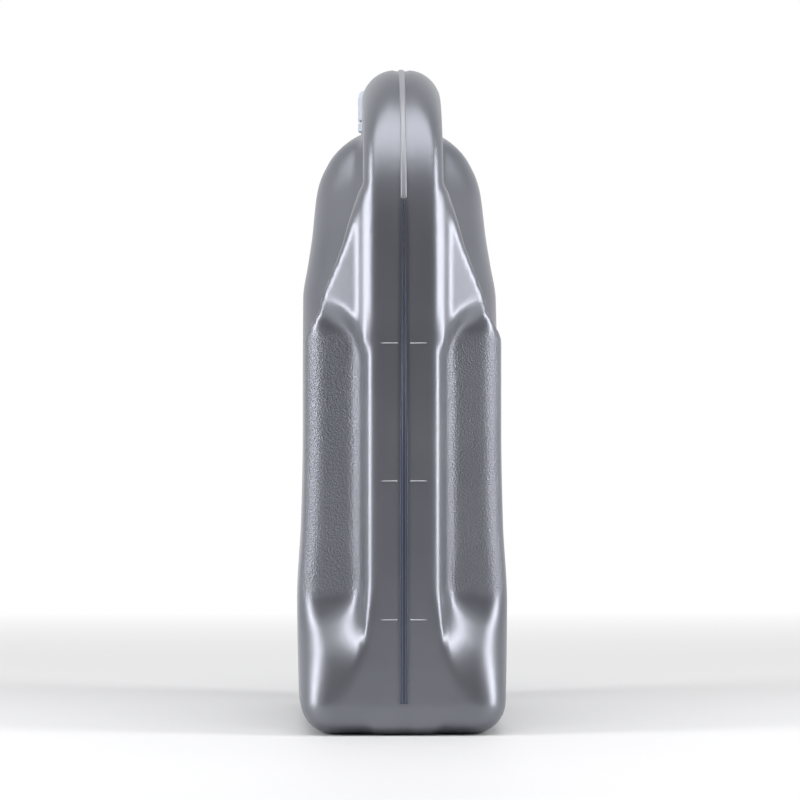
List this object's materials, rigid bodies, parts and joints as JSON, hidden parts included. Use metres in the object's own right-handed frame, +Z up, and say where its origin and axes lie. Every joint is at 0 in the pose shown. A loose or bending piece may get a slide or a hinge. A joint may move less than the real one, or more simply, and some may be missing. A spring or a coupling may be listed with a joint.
{
  "type": "motor oil bottle",
  "caption": "Four-litre blow-moulded oil jug with a hollow arched handle, a rear spine with grip recesses and a view stripe, and a ribbed screw cap with its liner and tamper band",
  "frame": {"origin": "middle of the footprint, on the surface that the bottle stands on", "axes": "+Z up; +X towards the handle and its spine, -X towards the neck; Y across the thickness"},
  "size_m": [0.19, 0.1026, 0.32],
  "materials": {
    "bottle_plastic": "satin silver-grey, with fine grain in the grip recesses",
    "cap_plastic": "satin, pale blue-grey",
    "liner_foam": "matt white foam",
    "band_plastic": "satin, pale blue-grey"
  },
  "bodies": {
    "bottle": {"bottle": "bottle_plastic", "tamper_band": "band_plastic"},
    "liner": {"cap_liner": "liner_foam"},
    "cap": {"cap": "cap_plastic"}
  },
  "joints": [
    {"name": "cap_rise", "type": "slide", "parent": "bottle", "child": "liner", "axis": [0, 0, 1], "range_m": [0, 0.0169]},
    {"name": "cap_turn", "type": "hinge", "parent": "liner", "child": "cap", "pos_m": [-0.046, 0, 0.3142], "axis": [0, 0, 1], "range_deg": [0, 1440]}
  ],
  "couplings": [
    {"joint": "cap_rise", "follows": "cap_turn", "m_per_rad": 0.00066845}
  ]
}
